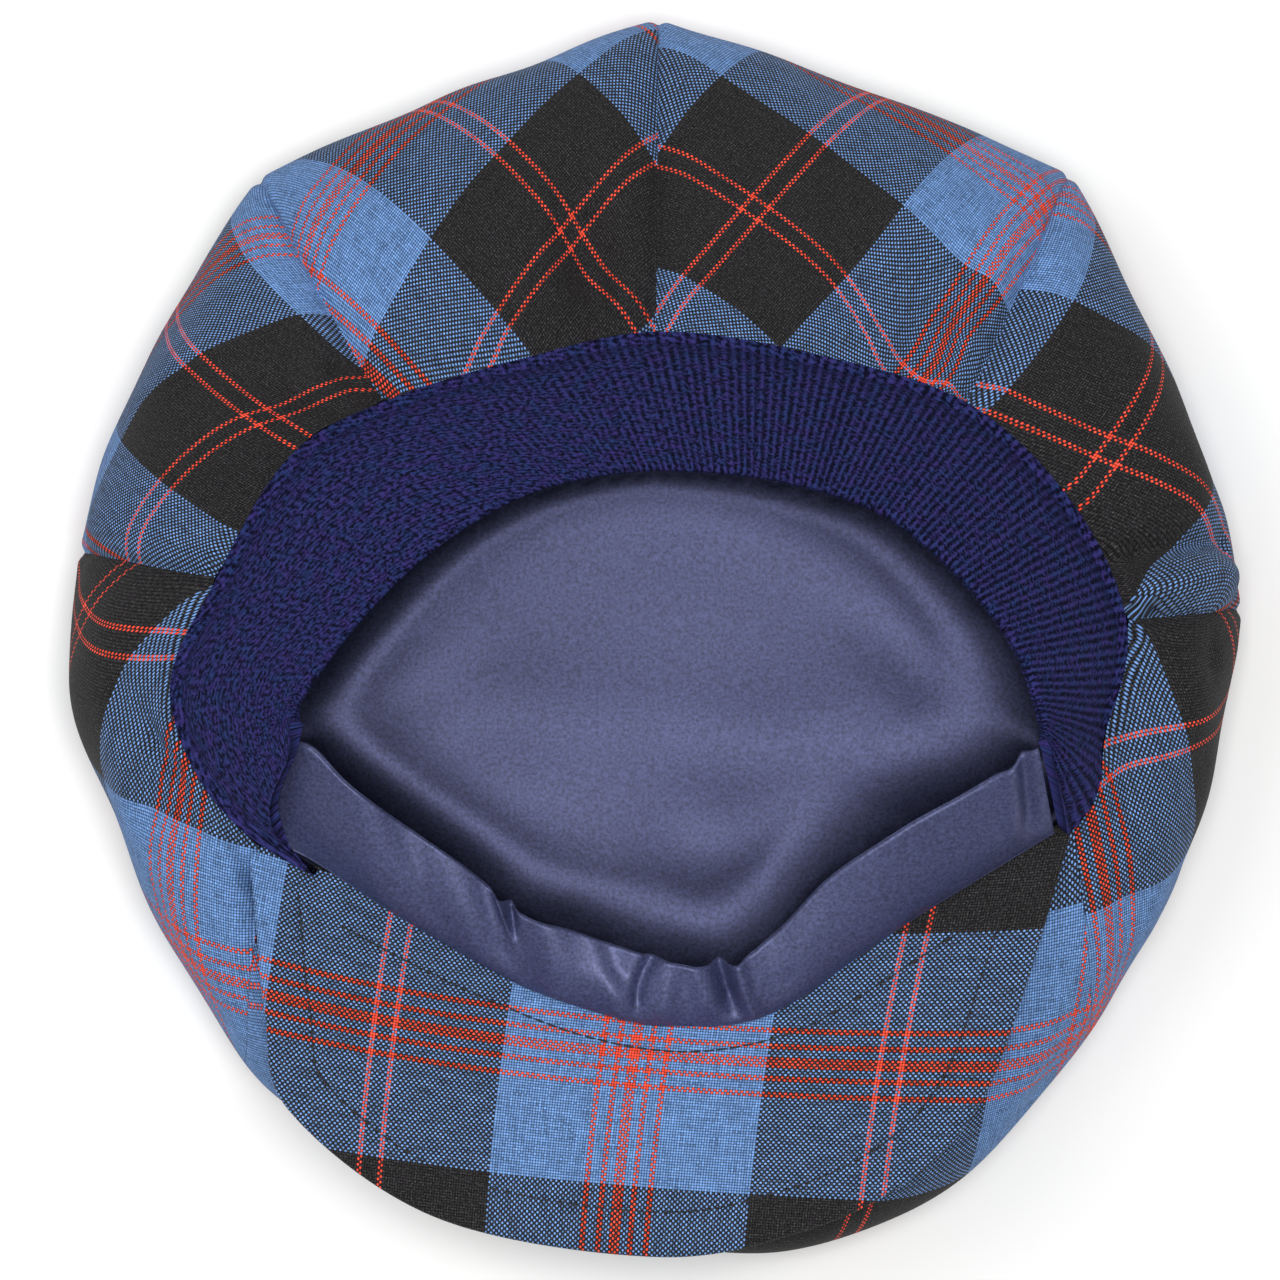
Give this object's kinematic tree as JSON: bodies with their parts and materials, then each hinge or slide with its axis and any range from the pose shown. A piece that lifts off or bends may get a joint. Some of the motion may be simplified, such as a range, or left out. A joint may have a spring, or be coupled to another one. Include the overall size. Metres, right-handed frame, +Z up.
{
  "type": "flat cap",
  "caption": "Soft panelled flat cap in newsboy form with a short stiff peak, a knitted band and a satin lining, lying on its crown.",
  "frame": {"origin": "on the floor at the middle of the cap's bounding box in plan, under the crown's button", "axes": "+Z up out of the cap's mouth, since the cap lies on its crown; +Y towards the back of the cap, so the peak points along -Y; +X to the wearer's right"},
  "size_m": [0.2701, 0.2842, 0.0904],
  "materials": {
    "tartan_cloth": "matt woven wool-type cloth, tartan of light blue and black with thin red lines",
    "rib_knit": "navy double rib knit, matt and slightly fuzzy",
    "satin": "slate navy satin lining, smooth with a soft sheen"
  },
  "bodies": {
    "root": {"crown_panel_right_back": "tartan_cloth", "crown_panel_back_right": "tartan_cloth", "crown_panel_back_left": "tartan_cloth", "crown_panel_left_back": "tartan_cloth", "crown_panel_left_front": "tartan_cloth", "crown_panel_front_left": "tartan_cloth", "crown_panel_front_right": "tartan_cloth", "crown_panel_right_front": "tartan_cloth", "crown_button": "tartan_cloth", "peak": "tartan_cloth", "knit_band": "rib_knit", "satin_lining": "satin", "satin_facing": "satin"}
  },
  "joints": []
}
